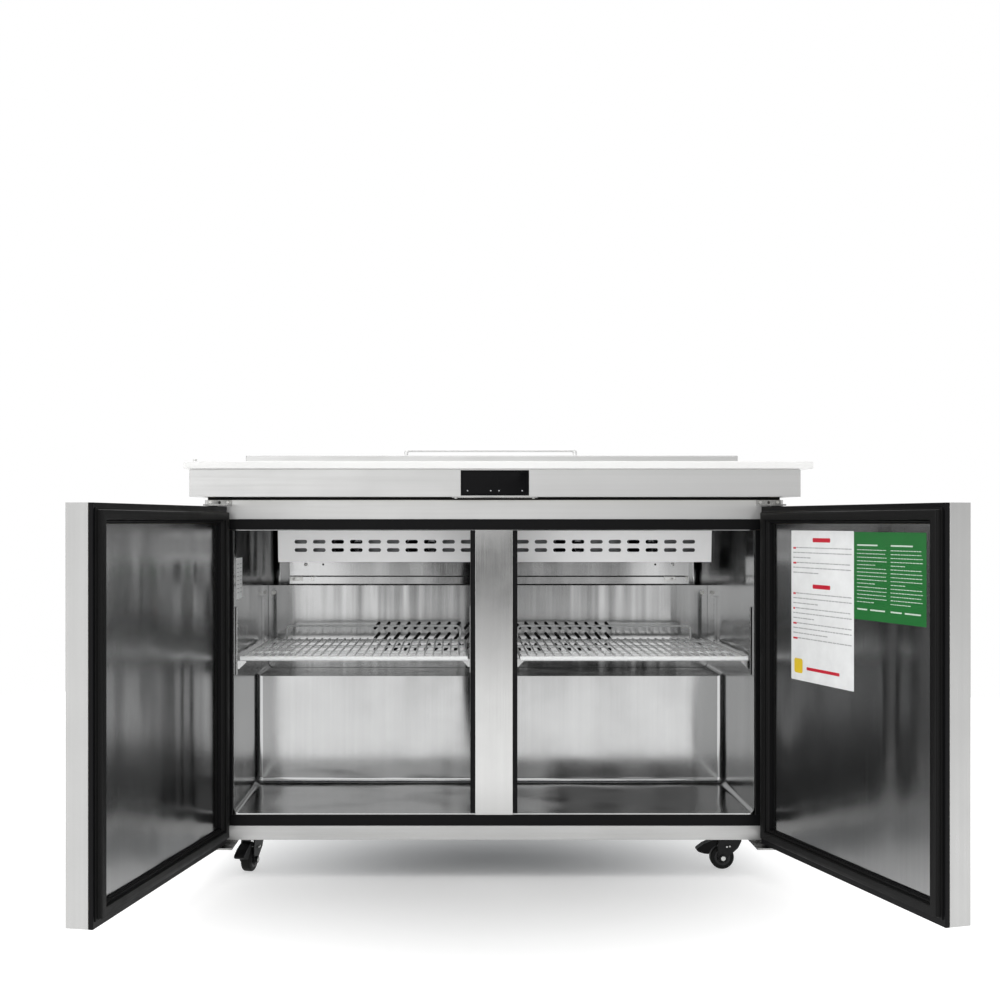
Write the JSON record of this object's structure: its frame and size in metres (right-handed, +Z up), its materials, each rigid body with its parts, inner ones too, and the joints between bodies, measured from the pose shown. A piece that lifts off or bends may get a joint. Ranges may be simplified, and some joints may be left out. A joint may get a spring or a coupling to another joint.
{
  "type": "undercounter refrigerator",
  "caption": "Low stainless two-door prep refrigerator on casters, with wire shelves, a lidded pan well and a cutting board.",
  "frame": {"origin": "on the floor, under the middle of the cabinet's front frame", "axes": "+X to the right seen from the front, +Y from the doors to the back, +Z up"},
  "size_m": [1.4599, 1.2952, 0.8935],
  "materials": {
    "stainless": "satin",
    "stainless_inside": "satin",
    "galvanised": "satin",
    "foam": "matte",
    "black_plastic": "matte",
    "black_gloss": "gloss",
    "black_rubber": "matte",
    "white_coating": "satin",
    "white_poly": "satin",
    "fins": "satin",
    "zinc": "satin",
    "black_paint": "satin",
    "copper": "satin"
  },
  "bodies": {
    "cabinet": {"outer_shell": "stainless", "back_panel": "galvanised", "base_plate": "galvanised", "insulation": "foam", "liner": "stainless_inside", "mullion_post": "black_plastic", "mullion_cover": "stainless", "breaker_strips": "black_plastic", "duct_panel": "stainless_inside", "evaporator_cover": "white_coating", "evaporator_housing": "stainless_inside", "evaporator_coil": "fins", "drip_pan": "stainless_inside", "fan_frames": "black_plastic", "shelf_pilasters": "stainless_inside", "shelf_clips": "stainless_inside", "worktop": "stainless", "pan_well": "stainless", "food_pans": "stainless", "controller": "black_gloss", "brackets": "stainless", "caster_plates": "zinc", "fasteners": "zinc", "compressor": "black_paint", "condenser": "fins", "refrigerant_lines": "copper", "rear_grille": "galvanised", "power_inlet": "black_plastic", "lid_hinge": "stainless"},
    "left_door": {"left_door_skin": "stainless", "left_door_foam": "foam", "left_door_frame": "black_plastic", "left_door_inner_panel": "stainless_inside", "left_door_gasket": "black_rubber"},
    "right_door": {"right_door_skin": "stainless", "right_door_foam": "foam", "right_door_frame": "black_plastic", "right_door_inner_panel": "stainless_inside", "right_door_gasket": "black_rubber"},
    "pan_lid": {"lid_panel": "stainless", "lid_handle": "stainless"},
    "left_shelf_body": {"left_shelf": "white_coating"},
    "right_shelf_body": {"right_shelf": "white_coating"},
    "board": {"cutting_board": "white_poly"},
    "swivel_front_left": {"caster_fork_front_left": "black_paint"},
    "wheel_front_left": {"caster_wheel_front_left": "black_rubber"},
    "pedal_front_left": {"brake_pedal_front_left": "black_plastic"},
    "swivel_front_right": {"caster_fork_front_right": "black_paint"},
    "wheel_front_right": {"caster_wheel_front_right": "black_rubber"},
    "pedal_front_right": {"brake_pedal_front_right": "black_plastic"},
    "swivel_rear_left": {"caster_fork_rear_left": "black_paint"},
    "wheel_rear_left": {"caster_wheel_rear_left": "black_rubber"},
    "swivel_rear_right": {"caster_fork_rear_right": "black_paint"},
    "wheel_rear_right": {"caster_wheel_rear_right": "black_rubber"},
    "fan_1": {"evaporator_fan_1": "black_plastic"},
    "fan_2": {"evaporator_fan_2": "black_plastic"},
    "fan_3": {"evaporator_fan_3": "black_plastic"},
    "fan_4": {"evaporator_fan_4": "black_plastic"},
    "fan_5": {"evaporator_fan_5": "black_plastic"},
    "cooling_fan": {"condenser_fan": "black_plastic"}
  },
  "joints": [
    {"name": "left_door_hinge", "type": "hinge", "parent": "cabinet", "child": "left_door", "pos_m": [-0.57, -0.035, 0.42], "axis": [0, 0, 1], "range_deg": [-15, 101.3]},
    {"name": "right_door_hinge", "type": "hinge", "parent": "cabinet", "child": "right_door", "pos_m": [0.57, -0.035, 0.42], "axis": [0, 0, -1], "range_deg": [-10, 106.5]},
    {"name": "pan_lid_hinge", "type": "hinge", "parent": "cabinet", "child": "pan_lid", "pos_m": [0, 0.581, 0.846], "axis": [-1, 0, 0], "range_deg": [0, 95]},
    {"name": "left_shelf_lift", "type": "slide", "parent": "cabinet", "child": "left_shelf_body", "axis": [0, 0, 1], "range_m": [0, 0.06]},
    {"name": "right_shelf_lift", "type": "slide", "parent": "cabinet", "child": "right_shelf_body", "axis": [0, 0, 1], "range_m": [0, 0.06]},
    {"name": "board_lift", "type": "slide", "parent": "cabinet", "child": "board", "axis": [0, 0, 1], "range_m": [0, 0.05]},
    {"name": "swivel_front_left", "type": "hinge", "parent": "cabinet", "child": "swivel_front_left", "pos_m": [-0.505, 0.085, 0.07], "axis": [0, 0, 1], "continuous": true},
    {"name": "wheel_front_left_spin", "type": "hinge", "parent": "swivel_front_left", "child": "wheel_front_left", "pos_m": [-0.51069, 0.06375, 0.025], "axis": [0.9659, -0.2588, 0], "continuous": true},
    {"name": "brake_front_left", "type": "hinge", "parent": "swivel_front_left", "child": "pedal_front_left", "pos_m": [-0.51302, 0.05506, 0.06], "axis": [0.9659, -0.2588, 0], "range_deg": [0, 5]},
    {"name": "swivel_front_right", "type": "hinge", "parent": "cabinet", "child": "swivel_front_right", "pos_m": [0.505, 0.085, 0.07], "axis": [0, 0, 1], "continuous": true},
    {"name": "wheel_front_right_spin", "type": "hinge", "parent": "swivel_front_right", "child": "wheel_front_right", "pos_m": [0.483, 0.085, 0.025], "axis": [0, -1, 0], "continuous": true},
    {"name": "brake_front_right", "type": "hinge", "parent": "swivel_front_right", "child": "pedal_front_right", "pos_m": [0.474, 0.085, 0.06], "axis": [0, -1, 0], "range_deg": [0, 5]},
    {"name": "swivel_rear_left", "type": "hinge", "parent": "cabinet", "child": "swivel_rear_left", "pos_m": [-0.505, 0.605, 0.07], "axis": [0, 0, 1], "continuous": true},
    {"name": "wheel_rear_left_spin", "type": "hinge", "parent": "swivel_rear_left", "child": "wheel_rear_left", "pos_m": [-0.49748, 0.62567, 0.025], "axis": [-0.9397, 0.342, 0], "continuous": true},
    {"name": "swivel_rear_right", "type": "hinge", "parent": "cabinet", "child": "swivel_rear_right", "pos_m": [0.505, 0.605, 0.07], "axis": [0, 0, 1], "continuous": true},
    {"name": "wheel_rear_right_spin", "type": "hinge", "parent": "swivel_rear_right", "child": "wheel_rear_right", "pos_m": [0.4957, 0.62494, 0.025], "axis": [-0.9063, -0.4226, 0], "continuous": true},
    {"name": "fan_1_spin", "type": "hinge", "parent": "cabinet", "child": "fan_1", "pos_m": [-0.315, 0.19, 0.6795], "axis": [0, 1, 0], "continuous": true},
    {"name": "fan_2_spin", "type": "hinge", "parent": "cabinet", "child": "fan_2", "pos_m": [-0.1542, 0.19, 0.6795], "axis": [0, 1, 0], "continuous": true},
    {"name": "fan_3_spin", "type": "hinge", "parent": "cabinet", "child": "fan_3", "pos_m": [0.0066, 0.19, 0.6795], "axis": [0, 1, 0], "continuous": true},
    {"name": "fan_4_spin", "type": "hinge", "parent": "cabinet", "child": "fan_4", "pos_m": [0.1674, 0.19, 0.6795], "axis": [0, 1, 0], "continuous": true},
    {"name": "fan_5_spin", "type": "hinge", "parent": "cabinet", "child": "fan_5", "pos_m": [0.3282, 0.19, 0.6795], "axis": [0, 1, 0], "continuous": true},
    {"name": "cooling_fan_spin", "type": "hinge", "parent": "cabinet", "child": "cooling_fan", "pos_m": [0.2, 0.56, 0.1841], "axis": [0, 1, 0], "continuous": true}
  ]
}
